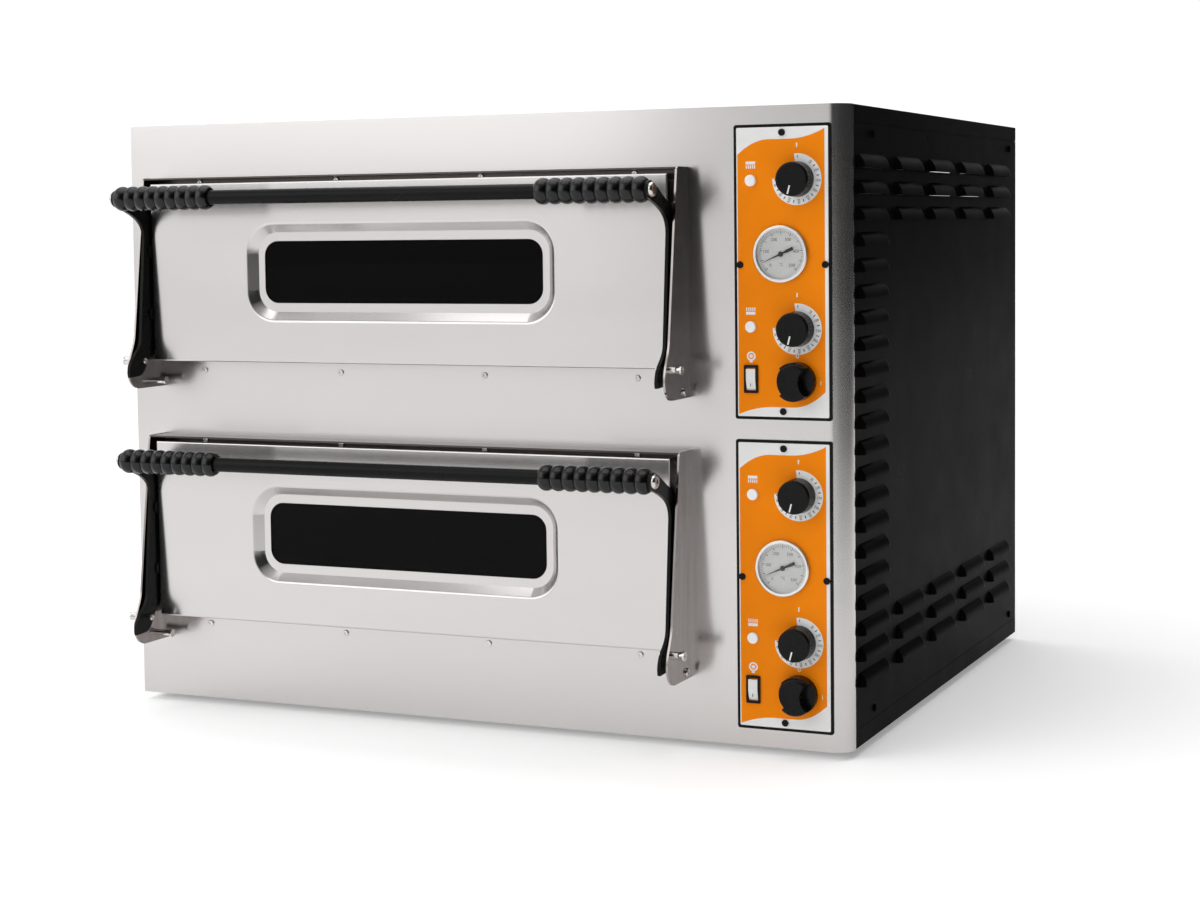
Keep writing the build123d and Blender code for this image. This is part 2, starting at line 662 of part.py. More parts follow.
def make_hinge_pins():
    """Door pins: pressed through the cheeks, their flared heads outside; the arms turn on their shafts."""
    inner = DECK_X + CHEEK_INNER - 15.4
    seat = DECK_X + CHEEK_INNER + CHEEK_T
    with BuildPart() as hinge_pins:
        for hinge_z in HINGE_Z.values():
            with BuildSketch(Plane.XY.offset(hinge_z)):
                with BuildLine():
                    Polyline((inner, HINGE_Y), (inner, HINGE_Y - PIN_R + 1), (inner + 1, HINGE_Y - PIN_R),
                             (seat, HINGE_Y - PIN_R), (seat, HINGE_Y - 4.6), (seat + 7, HINGE_Y - 4.2),
                             (seat + 13, HINGE_Y - 5.6), (seat + 15, HINGE_Y - 5.6),
                             (seat + 15, HINGE_Y - 2.6), (seat + 13.6, HINGE_Y - 2.2),
                             (seat + 13.6, HINGE_Y), (inner, HINGE_Y))
                make_face()
            revolve(axis=Axis((inner, HINGE_Y, hinge_z), (1, 0, 0)))
        mirror(about=DECK_MIRROR)
    finish(hinge_pins, "hinge_pins")


def make_cheek_studs():
    """Lower studs of the cheeks: a slotted head outside and a stud with a flared end inside."""
    seat = DECK_X + CHEEK_INNER + CHEEK_T
    stud_y = FRONT - STUD_REACH
    with BuildPart() as cheek_studs:
        for hinge_z in HINGE_Z.values():
            with BuildSketch(Plane.XY.offset(hinge_z + STUD_Z)):
                with BuildLine():
                    Polyline((seat + 2.6, stud_y), (seat + 2.6, stud_y - 4), (seat + 1.4, stud_y - 5.2),
                             (seat, stud_y - 5.2), (seat, stud_y - 3), (seat - CHEEK_T, stud_y - 3),
                             (seat - CHEEK_T, stud_y - 3.8), (seat - 15, stud_y - 3.8),
                             (seat - 18, stud_y - 5), (seat - 19.5, stud_y - 5),
                             (seat - 19.5, stud_y), (seat + 2.6, stud_y))
                make_face()
            revolve(axis=Axis((seat, stud_y, hinge_z + STUD_Z), (1, 0, 0)))
            with BuildSketch(Plane.YZ.offset(seat + 2.6)):
                with Locations((stud_y, hinge_z + STUD_Z)):
                    Rectangle(1.4, 8.5, rotation=25)
            extrude(amount=-1.3, mode=Mode.SUBTRACT)
        mirror(about=DECK_MIRROR)
    finish(cheek_studs, "cheek_studs")


# ---------------------------------------------------------------- one deck's door
def make_door_shell(deck, hinge_z):
    """Outer door pan with the window recess pressed into its face."""
    window_z = hinge_z + MOUTH_Z
    door_z = hinge_z + DOOR_BOTTOM_Z + DOOR_H / 2
    ring_y = DOOR_Y + RECESS_DEPTH
    with BuildPart() as door_shell:
        with BuildSketch(facing_front(FRONT - DOOR_GAP)):
            with Locations((DECK_X, door_z)):
                Rectangle(DOOR_W, DOOR_H)
        extrude(amount=DOOR_REACH - DOOR_GAP)
        fillet(door_shell.faces().sort_by(Axis.Y)[0].edges(), 2)
        with BuildSketch(facing_front(FRONT - DOOR_GAP)):
            with Locations((DECK_X, door_z)):
                Rectangle(DOOR_W - 2 * SHEET, DOOR_H - 2 * SHEET)
        extrude(amount=DOOR_REACH - DOOR_GAP - SHEET, mode=Mode.SUBTRACT)
        with BuildSketch(facing_front(DOOR_Y + SHEET)):
            with Locations((DECK_X, window_z)):
                RectangleRounded(WINDOW_W + 2, WINDOW_H + 2, 39)
        extrude(amount=-RECESS_DEPTH, taper=RECESS_SLOPE)
        with BuildSketch(facing_front(DOOR_Y)):
            with Locations((DECK_X, window_z)):
                RectangleRounded(WINDOW_W, WINDOW_H, 38)
        extrude(amount=-RECESS_DEPTH, taper=RECESS_SLOPE, mode=Mode.SUBTRACT)
        with BuildSketch(facing_front(ring_y)):
            with Locations((DECK_X, window_z)):
                RectangleRounded(GLASS_W, GLASS_H, GLASS_R)
        extrude(amount=-3 * SHEET, mode=Mode.SUBTRACT)
        rim = door_shell.faces().sort_by(Axis.Y)[0].inner_wires()[0].edges()
        fillet(rim, 5)
    finish(door_shell, f"{deck}_door_shell")


def make_door_liner(deck, hinge_z):
    """Inner door pan: a plug pressed towards the chamber mouth, and a rim that nests in the outer pan."""
    door_z = hinge_z + DOOR_BOTTOM_Z + DOOR_H / 2
    window_z = hinge_z + MOUTH_Z
    pan_w = DOOR_W - 2 * SHEET - 0.4
    pan_h = DOOR_H - 2 * SHEET - 0.4
    rim_y = FRONT - DOOR_GAP
    plug_y = FRONT - PLUG_GAP
    with BuildPart() as door_liner:
        with BuildSketch(facing_front(rim_y)):
            with Locations((DECK_X, door_z)):
                Rectangle(pan_w, pan_h)
        extrude(amount=10)
        with BuildSketch(facing_front(rim_y - SHEET)):
            with Locations((DECK_X, door_z)):
                Rectangle(pan_w - 2 * SHEET, pan_h - 2 * SHEET)
        extrude(amount=10, mode=Mode.SUBTRACT)
        with BuildSketch(facing_front(plug_y)):
            with Locations((DECK_X, window_z)):
                RectangleRounded(CHAMBER_W + 20, MOUTH_H + 20, 12)
        extrude(amount=plug_y - rim_y + SHEET, taper=-30)
        with BuildSketch(facing_front(plug_y - SHEET)):
            with Locations((DECK_X, window_z)):
                RectangleRounded(CHAMBER_W + 20 - 2 * SHEET, MOUTH_H + 20 - 2 * SHEET, 12 - SHEET)
        extrude(amount=plug_y - rim_y + SHEET, taper=-30, mode=Mode.SUBTRACT)
        with BuildSketch(facing_front(FRONT)):
            with Locations((DECK_X, window_z)):
                RectangleRounded(GLASS_W, GLASS_H, GLASS_R)
        extrude(amount=20, mode=Mode.SUBTRACT)
    finish(door_liner, f"{deck}_door_liner")


def make_door_glass(deck, hinge_z):
    """Outer and inner panes, each against the back of its own sheet."""
    outer_y = DOOR_Y + RECESS_DEPTH + SHEET
    inner_y = FRONT - PLUG_GAP - SHEET - GLASS_T
    with BuildPart() as door_glass:
        with BuildSketch(facing_front(outer_y), facing_front(inner_y)):
            with Locations((DECK_X, hinge_z + MOUTH_Z)):
                RectangleRounded(GLASS_W + 16, GLASS_H + 16, 8)
        extrude(amount=-GLASS_T)
    finish(door_glass, f"{deck}_door_glass")


def make_door_insulation(deck, hinge_z):
    """Insulating slab between the door's pans, open round the window."""
    door_z = hinge_z + DOOR_BOTTOM_Z + DOOR_H / 2
    front_y = DOOR_Y + SHEET
    back_y = FRONT - DOOR_GAP - SHEET - 0.5
    with BuildPart() as door_insulation:
        with BuildSketch(facing_front(front_y)):
            with Locations((DECK_X, door_z)):
                Rectangle(DOOR_W - 4 * SHEET - 2, DOOR_H - 4 * SHEET - 2)
            with Locations((DECK_X, hinge_z + MOUTH_Z)):
                RectangleRounded(WINDOW_W + 8, WINDOW_H + 8, 30, mode=Mode.SUBTRACT)
        extrude(amount=front_y - back_y)
    finish(door_insulation, f"{deck}_door_insulation")


def make_arms(deck, hinge_z):
    """Pair of bent flat arms from the hinge pins up the door's sides to the ends of the handle."""
    eye = (ROD_Y, hinge_z + HANDLE_Z)
    neck_top = (eye[0] + 2.0, eye[1] + EYE_R - 0.3)
    neck_foot = (eye[0] - 3.0, eye[1] - EYE_R + 0.5)
    lean_top = (FRONT - 47.0, hinge_z + 154.5)
    lean_foot = (FRONT - 58.5, hinge_z + 29.5)
    back_y = FRONT - 22.0
    with BuildPart() as arms:
        with BuildSketch(Plane.YZ.offset(DECK_X + ARM_INNER)):
            with BuildLine():
                Spline(neck_foot, (FRONT - 70.0, hinge_z + 185.0), lean_top,
                       tangents=[(0.95, -0.3), (-0.09, -1)])
                Line(lean_top, lean_foot)
                Spline(lean_foot, (FRONT - 76.0, hinge_z + 5.5), (FRONT - 85.0, hinge_z - 14.0),
                       tangents=[(-0.1, -1), (-0.05, -1)])
                Polyline((FRONT - 85.0, hinge_z - 14.0), (FRONT - 84.0, hinge_z - 20.0),
                         (FRONT - 64.0, hinge_z - 19.0))
                Spline((FRONT - 64.0, hinge_z - 19.0), (FRONT - 44.0, hinge_z + 3.0),
                       (back_y, hinge_z + 44.0), tangents=[(1, 0.2), (0, 1)])
                Line((back_y, hinge_z + 44.0), (back_y, hinge_z + 160.0))
                Spline((back_y, hinge_z + 160.0), (FRONT - 56.0, hinge_z + 197.0), neck_top,
                       tangents=[(0, 1), (-0.97, 0.25)])
                Line(neck_top, neck_foot)
            make_face()
            with Locations(eye):
                Circle(EYE_R)
                Circle(4, mode=Mode.SUBTRACT)
            with Locations((HINGE_Y, hinge_z)):
                Circle(PIN_R + RUNNING, mode=Mode.SUBTRACT)
        extrude(amount=ARM_T)
        with BuildSketch(Plane.YZ.offset(DECK_X + DOOR_W / 2)):
            with Locations((back_y - 11, hinge_z + 60.0), (back_y - 11, hinge_z + 140.0)):
                Circle(8)
        extrude(amount=ARM_INNER - DOOR_W / 2)
        mirror(about=DECK_MIRROR)
    finish(arms, f"{deck}_arms")


def make_handle_rod(deck, hinge_z):
    with BuildPart() as handle_rod:
        with BuildSketch(Plane.YZ.offset(DECK_X - ARM_INNER)):
            with Locations((ROD_Y, hinge_z + HANDLE_Z)):
                Circle(ROD_D / 2)
        extrude(amount=2 * ARM_INNER)
        with BuildSketch(Plane.YZ.offset(DECK_X + ARM_INNER)):
            with Locations((ROD_Y, hinge_z + HANDLE_Z)):
                Circle(4)
        extrude(amount=-25, mode=Mode.SUBTRACT)
        with BuildSketch(Plane.YZ.offset(DECK_X - ARM_INNER)):
            with Locations((ROD_Y, hinge_z + HANDLE_Z)):
                Circle(4)
        extrude(amount=25, mode=Mode.SUBTRACT)
    finish(handle_rod, f"{deck}_handle_rod")


def make_grips(deck, hinge_z):
    """Ribbed sleeve on each end of the handle rod, made of equal rounded ribs."""
    outer_x = DECK_X + ARM_INNER
    inner_x = outer_x - GRIP_L
    rib_pitch = GRIP_L / GRIP_RIBS
    crest = ROD_Y - GRIP_D / 2
    groove = crest + GRIP_GROOVE
    bore = ROD_Y - ROD_D / 2
    with BuildPart() as grips:
        with BuildSketch(Plane.XY.offset(hinge_z + HANDLE_Z)):
            with BuildLine():
                for rib in range(GRIP_RIBS):
                    start = outer_x - rib * rib_pitch
                    middle = start - rib_pitch / 2
                    ThreePointArc((start, groove), (middle, crest), (start - rib_pitch, groove))
                Polyline((inner_x, groove), (inner_x, bore), (outer_x, bore), (outer_x, groove))
            make_face()
        revolve(axis=Axis((0, ROD_Y, hinge_z + HANDLE_Z), (1, 0, 0)))
        mirror(about=DECK_MIRROR)
    finish(grips, f"{deck}_grips")


def make_handle_screws(deck, hinge_z):
    """Domed screw through each arm's eye into the end of the rod."""
    seat = DECK_X + ARM_INNER + ARM_T
    with BuildPart() as handle_screws:
        with BuildSketch(Plane.YZ.offset(seat)):
            with Locations((ROD_Y, hinge_z + HANDLE_Z)):
                Circle(4)
        extrude(amount=-(ARM_T + 22))
        with BuildSketch(Plane.YZ.offset(seat)):
            with Locations((ROD_Y, hinge_z + HANDLE_Z)):
                Circle(HANDLE_SCREW_R)
        extrude(amount=5)
        fillet(handle_screws.faces().sort_by(Axis.X)[-1].edges(), 3)
        with BuildSketch(Plane.YZ.offset(seat + 5)):
            with Locations((ROD_Y, hinge_z + HANDLE_Z)):
                RegularPolygon(3, 6)
        extrude(amount=-3, mode=Mode.SUBTRACT)
        mirror(about=DECK_MIRROR)
    finish(handle_screws, f"{deck}_handle_screws")


# ---------------------------------------------------------------- control plates
def plate_holes(plate_z):
    """Sketch of the holes that a control plate and its label share."""
    spindles = [(PLATE_X + dx, plate_z + dz) for dx, dz in (TOP_KNOB_AT, BOTTOM_KNOB_AT, SELECTOR_AT)]
    lamps = [(PLATE_X + dx, plate_z + dz) for dx, dz in LAMPS_AT]
    screws = [(PLATE_X + dx, plate_z + dz) for dx, dz in PLATE_SCREWS_AT]
    with BuildSketch() as holes:
        with Locations(*spindles):
            Circle(SPINDLE_R + 1.5)
        with Locations(*lamps):
            Circle(LAMP_D / 2 - 1)
        with Locations(*screws):
            Circle(PLATE_SCREW_D * 0.24)
        with Locations((PLATE_X + GAUGE_AT[0], plate_z + GAUGE_AT[1])):
            Circle(GAUGE_BODY_R)
        with Locations((PLATE_X + ROCKER_AT[0], plate_z + ROCKER_AT[1])):
            Rectangle(ROCKER_W - 2.5, ROCKER_H - 3)
    return holes.sketch


def make_control_plate(deck, plate_z):
    """Black backing plate; its edge shows as a rim round the label."""
    holes = plate_holes(plate_z)
    with BuildPart() as control_plate:
        with BuildSketch(facing_front(FRONT)):
            with Locations((PLATE_X, plate_z)):
                RectangleRounded(PLATE_W, PLATE_H, 3)
            add(holes, mode=Mode.SUBTRACT)
        extrude(amount=PLATE_T)
    finish(control_plate, f"{deck}_control_plate")


def make_control_labels():
    """Printed films on the control plates."""
    holes = [plate_holes(plate_z) for plate_z in PLATE_Z.values()]
    with BuildPart() as control_labels:
        with BuildSketch(facing_front(PLATE_FACE)):
            with Locations(*[(PLATE_X, plate_z) for plate_z in PLATE_Z.values()]):
                RectangleRounded(PLATE_W - 2 * PLATE_BORDER, PLATE_H - 2 * PLATE_BORDER, 1.5)
            add(holes, mode=Mode.SUBTRACT)
        extrude(amount=LABEL_T)
    finish(control_labels, "control_labels")


def make_thermostat_knob(deck, plate_z, name, at):
    """Round knob on its spindle, with a shallow dish in its face."""
    x = PLATE_X + at[0]
    z = plate_z + at[1]
    back_y = LABEL_FACE - 0.6
    with BuildPart() as knob:
        with BuildSketch(facing_front(back_y)):
            with Locations((x, z)):
                Circle(KNOB_D / 2)
        extrude(amount=KNOB_L, taper=3)
        fillet(knob.faces().sort_by(Axis.Y)[0].edges(), 2.5)
        with BuildSketch(facing_front(back_y)):
            with Locations((x, z)):
                Circle(SPINDLE_R)
        extrude(amount=-(PLATE_T + LABEL_T + 0.6 + 12))
    finish(knob, f"{deck}_{name}_knob")


def make_selector_knob(deck, plate_z):
    """Selector knob: round skirt and an upright grip bar with hollowed sides."""
    x = PLATE_X + SELECTOR_AT[0]
    z = plate_z + SELECTOR_AT[1]
    back_y = LABEL_FACE - 0.6
    with BuildPart() as selector_knob:
        with BuildSketch(facing_front(back_y)):
            with Locations((x, z)):
                Circle(SELECTOR_D / 2)
        extrude(amount=22)
        fillet(selector_knob.faces().sort_by(Axis.Y)[0].edges(), 5)
        with BuildSketch(facing_front(back_y - 8)):
            with Locations((x - 27.5, z), (x + 27.5, z)):
                Circle(20)
        extrude(amount=30, mode=Mode.SUBTRACT)
        with BuildSketch(facing_front(back_y)):
            with Locations((x, z)):
                Circle(SPINDLE_R)
        extrude(amount=-(PLATE_T + LABEL_T + 0.6 + 12))
    finish(selector_knob, f"{deck}_selector_knob")


def make_rocker_frames():
    """Rocker switch housings: bezel in front of the label and a body behind it."""
    places = [(PLATE_X + ROCKER_AT[0], plate_z + ROCKER_AT[1]) for plate_z in PLATE_Z.values()]
    with BuildPart() as rocker_frames:
        with BuildSketch(facing_front(LABEL_FACE)):
            with Locations(*places):
                RectangleRounded(ROCKER_W, ROCKER_H, 1.2)
        extrude(amount=2.2)
        with BuildSketch(facing_front(LABEL_FACE)):
            with Locations(*places):
                Rectangle(ROCKER_W - 2.5, ROCKER_H - 3)
        extrude(amount=-24)
        with BuildSketch(facing_front(LABEL_FACE - 2.2)):
            with Locations(*places):
                Rectangle(ROCKER_W - 5, ROCKER_H - 6)
        extrude(amount=-17, mode=Mode.SUBTRACT)
    finish(rocker_frames, "rocker_frames")


def make_rocker(deck, plate_z):
    """Rocker paddle: two flat halves at a shallow angle, resting with its upper half proud."""
    half_h = ROCKER_H / 2 - 3.6
    nose = 7.2
    ends = 5.6
    with BuildPart() as rocker:
        with BuildSketch(Plane.YZ.offset(PLATE_X + ROCKER_AT[0] - ROCKER_W / 2 + 2.9)):
            with Locations((ROCKER_PIVOT_Y, plate_z + ROCKER_AT[1])):
                Polygon((-nose, 0), (-ends, half_h), (3.0, half_h - 1.6), (6.0, 0), (3.0, -half_h + 1.6),
                        (-ends, -half_h), rotation=ROCKER_TILT, align=None)
        extrude(amount=ROCKER_W - 5.8)
    finish(rocker, f"{deck}_rocker")


def make_pilot_lamps():
    places = [(PLATE_X + dx, plate_z + dz) for plate_z in PLATE_Z.values() for dx, dz in LAMPS_AT]
    with BuildPart() as pilot_lamps:
        with BuildSketch(facing_front(LABEL_FACE)):
            with Locations(*places):
                Circle(LAMP_D / 2)
        extrude(amount=3)
        fillet(pilot_lamps.faces().group_by(Axis.Y)[0].edges(), 1.6)
        with BuildSketch(facing_front(LABEL_FACE)):
            with Locations(*places):
                Circle(LAMP_D / 2 - 1)
        extrude(amount=-22)
    finish(pilot_lamps, "pilot_lamps")


def gauge_places():
    return [(PLATE_X + GAUGE_AT[0], plate_z + GAUGE_AT[1]) for plate_z in PLATE_Z.values()]


def make_gauge_cases():
    """Thermometer cases: flanged bezel, dial at the bottom of its well, body behind the plate."""
    front_y = LABEL_FACE - GAUGE_BEZEL
    with BuildPart() as gauge_cases:
        with BuildSketch(facing_front(LABEL_FACE)):
            with Locations(*gauge_places()):
                Circle(GAUGE_D / 2)
        extrude(amount=GAUGE_BEZEL)
        fillet(gauge_cases.faces().group_by(Axis.Y)[0].edges(), 1.5)
        with BuildSketch(facing_front(LABEL_FACE)):
            with Locations(*gauge_places()):
                Circle(GAUGE_BODY_R)
        extrude(amount=-26)
        with BuildSketch(facing_front(front_y)):
            with Locations(*gauge_places()):
                Circle(GAUGE_BODY_R - 0.5)
        extrude(amount=-GAUGE_WELL, mode=Mode.SUBTRACT)
        with BuildSketch(facing_front(front_y + GAUGE_WELL)):
            with Locations(*gauge_places()):
                Circle(1 + RUNNING)
        extrude(amount=-5, mode=Mode.SUBTRACT)
    finish(gauge_cases, "gauge_cases")


def make_gauge_glasses():
    with BuildPart() as gauge_glasses:
        with BuildSketch(facing_front(LABEL_FACE - GAUGE_BEZEL + 0.6)):
            with Locations(*gauge_places()):
                Circle(GAUGE_BODY_R - 0.5)
        extrude(amount=-1.4)
    finish(gauge_glasses, "gauge_glasses")


def make_gauge_needle(deck, plate_z):
    """Thermometer needle: thin tip, broad tail, hub and pivot; at rest its tip points to eight o'clock."""
    x = PLATE_X + GAUGE_AT[0]
    z = plate_z + GAUGE_AT[1]
    dial_y = LABEL_FACE - GAUGE_BEZEL + GAUGE_WELL
    with BuildPart() as gauge_needle:
        with BuildSketch(facing_front(dial_y - 1.2)):
            with Locations((x, z)):
                Polygon((25, 0), (3, 0.9), (-3, 1.0), (-9, 1.7), (-16, 1.9), (-16, -1.9), (-9, -1.7),
                        (-3, -1.0), (3, -0.9), rotation=204, align=None)
                Circle(3)
        extrude(amount=0.8)
        with BuildSketch(facing_front(dial_y - 1.2)):
            with Locations((x, z)):
                Circle(1)
        extrude(amount=-5)
    finish(gauge_needle, f"{deck}_gauge_needle")


def make_switch_bodies():
    """Capillary thermostats and selector switches on the back of the control plates."""
    groups = (("thermostats", (TOP_KNOB_AT, BOTTOM_KNOB_AT), 46.0, 34.0),
              ("selector_switches", (SELECTOR_AT,), 42.0, 44.0))
    for label, knobs, side, depth in groups:
        places = [(PLATE_X + dx, plate_z + dz) for plate_z in PLATE_Z.values() for dx, dz in knobs]
        with BuildPart() as bodies:
            with BuildSketch(facing_front(FRONT + 3)):
                with Locations(*places):
                    RectangleRounded(side, side, 3)
            extrude(amount=-depth)
            with BuildSketch(facing_front(FRONT)):
                with Locations(*places):
                    Circle(8)
            extrude(amount=-3)
            with BuildSketch(facing_front(FRONT)):
                with Locations(*places):
                    Circle(SPINDLE_R + RUNNING)
            extrude(amount=-16, mode=Mode.SUBTRACT)
        finish(bodies, label)


# ---------------------------------------------------------------- everything
make_front_panel()
make_side_panels()
make_back_panel()
make_cover_and_tray()
make_feet()
make_casing_screws()
make_fascia_screws()
make_plate_screws()
make_compartment_wall()
make_terminal_cover()
make_cable_gland()
make_insulation()
make_baking_stones()
make_heating_elements()
make_chamber_lamps()
make_hinge_pins()
make_cheek_studs()
make_control_labels()
make_rocker_frames()
make_pilot_lamps()
make_gauge_cases()
make_gauge_glasses()
make_switch_bodies()

DECK_PIECES = (make_chamber, make_cheeks, make_lip, make_door_shell, make_door_liner, make_door_glass,
               make_door_insulation, make_arms, make_handle_rod, make_grips, make_handle_screws)
PLATE_PIECES = (make_control_plate, make_selector_knob, make_rocker, make_gauge_needle)
for deck, hinge_z in HINGE_Z.items():
    for make_piece in DECK_PIECES:
        make_piece(deck, hinge_z)
for deck, plate_z in PLATE_Z.items():
    for make_piece in PLATE_PIECES:
        make_piece(deck, plate_z)
    make_thermostat_knob(deck, plate_z, "top", TOP_KNOB_AT)
    make_thermostat_knob(deck, plate_z, "bottom", BOTTOM_KNOB_AT)
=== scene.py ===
import bpy, bmesh, json
from math import cos, pi, radians, sin
from mathutils import Matrix, Vector


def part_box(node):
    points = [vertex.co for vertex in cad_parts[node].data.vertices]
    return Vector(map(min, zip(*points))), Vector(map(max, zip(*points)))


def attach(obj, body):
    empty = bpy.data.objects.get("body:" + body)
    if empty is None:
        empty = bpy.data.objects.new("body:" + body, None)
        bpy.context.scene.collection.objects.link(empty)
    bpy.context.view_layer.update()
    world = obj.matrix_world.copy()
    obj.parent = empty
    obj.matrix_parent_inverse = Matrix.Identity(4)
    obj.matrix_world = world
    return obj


# Double-deck countertop pizza oven: looks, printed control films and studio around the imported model.
# Metres, in the model's own frame: X right, Y back, Z up.

MM = 0.001
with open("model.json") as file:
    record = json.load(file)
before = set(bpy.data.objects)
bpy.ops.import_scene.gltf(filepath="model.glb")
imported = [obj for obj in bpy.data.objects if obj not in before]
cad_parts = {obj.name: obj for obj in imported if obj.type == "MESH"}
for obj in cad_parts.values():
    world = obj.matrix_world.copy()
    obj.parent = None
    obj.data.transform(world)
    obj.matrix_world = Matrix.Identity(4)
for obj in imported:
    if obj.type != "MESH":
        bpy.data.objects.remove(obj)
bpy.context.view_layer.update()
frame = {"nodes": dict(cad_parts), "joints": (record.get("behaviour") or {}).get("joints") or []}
nodes = frame["nodes"]
DECKS = ("upper", "lower")
joint_at = {joint["name"]: Vector(joint["pos_m"]) for joint in frame["joints"]}


# ---------------------------------------------------------------- material helpers
class Paint:
    """One Principled material and short calls that add procedural detail to it, in object coordinates."""

    def __init__(self, name, color, roughness, metallic=0.0, **sockets):
        self.mat = bpy.data.materials.new(name)
        self.mat.use_nodes = True
        self.tree = self.mat.node_tree
        self.shader = self.tree.nodes["Principled BSDF"]
        self.shader.inputs["Base Color"].default_value = (*color, 1)
        self.shader.inputs["Roughness"].default_value = roughness
        self.shader.inputs["Metallic"].default_value = metallic
        for socket, value in sockets.items():
            self.shader.inputs[socket.replace("_", " ")].default_value = value
        self.coords = self.tree.nodes.new("ShaderNodeTexCoord").outputs["Object"]
        self.height = None

    def node(self, kind, **settings):
        made = self.tree.nodes.new(kind)
        for key, value in settings.items():
            setattr(made, key, value)
        return made

    def link(self, out, into):
        self.tree.links.new(out, into)

    def noise(self, stretch, detail=3.0, roughness=0.55):
        """Noise with `stretch` features a metre along each axis."""
        mapping = self.node("ShaderNodeMapping")
        mapping.inputs["Scale"].default_value = stretch if isinstance(stretch, tuple) else (stretch,) * 3
        self.link(self.coords, mapping.inputs["Vector"])
        tex = self.node("ShaderNodeTexNoise")
        tex.inputs["Scale"].default_value = 1.0
        tex.inputs["Detail"].default_value = detail
        tex.inputs["Roughness"].default_value = roughness
        self.link(mapping.outputs[0], tex.inputs["Vector"])
        return tex.outputs["Fac"]

    def remap(self, value, low, high, from_low=0.3, from_high=0.7):
        ranged = self.node("ShaderNodeMapRange")
        limits = {"From Min": from_low, "From Max": from_high, "To Min": low, "To Max": high}
        for socket, number in limits.items():
            ranged.inputs[socket].default_value = number
        self.link(value, ranged.inputs["Value"])
        return ranged.outputs["Result"]

    def vary_color(self, value, dark, light, from_low=0.3, from_high=0.7):
        ramp = self.node("ShaderNodeValToRGB")
        ramp.color_ramp.elements[0].position = from_low
        ramp.color_ramp.elements[0].color = (*dark, 1)
        ramp.color_ramp.elements[1].position = from_high
        ramp.color_ramp.elements[1].color = (*light, 1)
        self.link(value, ramp.inputs["Fac"])
        self.link(ramp.outputs["Color"], self.shader.inputs["Base Color"])

    def vary_roughness(self, value, low, high, from_low=0.3, from_high=0.7):
        self.link(self.remap(value, low, high, from_low, from_high), self.shader.inputs["Roughness"])

    def bump(self, value, depth, strength=1.0):
        """Adds relief `depth` metres deep on top of any relief that is already there."""
        bump = self.node("ShaderNodeBump")
        bump.inputs["Distance"].default_value = depth
        bump.inputs["Strength"].default_value = strength
        self.link(value, bump.inputs["Height"])
        if self.height:
            self.link(self.height, bump.inputs["Normal"])
        self.height = bump.outputs["Normal"]
        self.link(self.height, self.shader.inputs["Normal"])


def tint(color, factor):
    return tuple(channel * factor for channel in color)


# ---------------------------------------------------------------- materials
def brushed_sheet(name, color, rough, grain=(5.0, 5.0, 1400.0), anisotropic=0.0):
    """Sheet steel with a fine grain along one axis, faint handling marks and slow colour drift."""
    paint = Paint(name, color, rough, metallic=1.0, Anisotropic=anisotropic, Anisotropic_Rotation=0.25)
    tangent = paint.node("ShaderNodeTangent", direction_type="RADIAL", axis="Z")
    paint.link(tangent.outputs[0], paint.shader.inputs["Tangent"])
    paint.vary_color(paint.noise((1.2, 1.2, 5.0), 3.0), tint(color, 0.97), tint(color, 1.02))
    paint.vary_roughness(paint.noise((2.0, 2.0, 12.0), 3.0), rough * 0.92, rough * 1.08)
    paint.bump(paint.noise(grain, 3.0, 0.6), 0.00002, 0.05)
    return paint.mat


def polished_plate(name, color, rough):
    paint = Paint(name, color, rough, metallic=1.0)
    paint.vary_color(paint.noise((90.0, 90.0, 6.0), 4.0), tint(color, 0.86), tint(color, 1.08))
    paint.vary_roughness(paint.noise(60.0, 4.0), rough * 0.8, rough * 1.4)
    paint.bump(paint.noise((1500.0, 1500.0, 20.0), 3.0, 0.7), 0.00002, 0.12)
    return paint.mat


def satin_enamel(name, color, rough, specular, peel=1100.0):
    """Baked black paint: orange peel, faint dust and slightly rubbed gloss."""
    paint = Paint(name, color, rough, Specular_IOR_Level=specular)
    paint.vary_color(paint.noise(7.0, 6.0, 0.65), tint(color, 0.7), tint(color, 1.5), 0.35, 0.75)
    paint.vary_roughness(paint.noise(18.0, 5.0, 0.6), rough * 0.9, rough * 1.15)
    paint.bump(paint.noise(peel, 2.0), 0.00005, 0.12)
    return paint.mat


def moulded_plastic(name, color, rough, specular, texture=3000.0):
    paint = Paint(name, color, rough, Specular_IOR_Level=specular)
    paint.vary_color(paint.noise(40.0, 4.0), tint(color, 0.8), tint(color, 1.3))
    paint.vary_roughness(paint.noise(90.0, 4.0), rough * 0.85, rough * 1.2)
    paint.bump(paint.noise(texture, 2.0), 0.00003, 0.3)
    return paint.mat


def glossy_plastic(name, color, rough, coat=0.3):
    paint = Paint(name, color, rough, Coat_Weight=coat, Coat_Roughness=0.08)
    paint.vary_color(paint.noise(60.0, 4.0), tint(color, 0.96), tint(color, 1.02))
    paint.vary_roughness(paint.noise(120.0, 4.0), rough * 0.85, rough * 1.2)
    paint.bump(paint.noise(1500.0, 2.0), 0.00002, 0.25)
    return paint.mat


def printed_film(name, color, rough=0.34):
    """Screen-printed polyester film: even colour with a fine pebbled surface."""
    paint = Paint(name, color, rough, Specular_IOR_Level=0.07)
    paint.vary_color(paint.noise(25.0, 5.0), tint(color, 0.965), tint(color, 1.02))
    paint.vary_roughness(paint.noise(200.0, 4.0), rough * 0.9, rough * 1.15)
    paint.bump(paint.noise(5000.0, 1.0), 0.00001, 0.4)
    return paint.mat


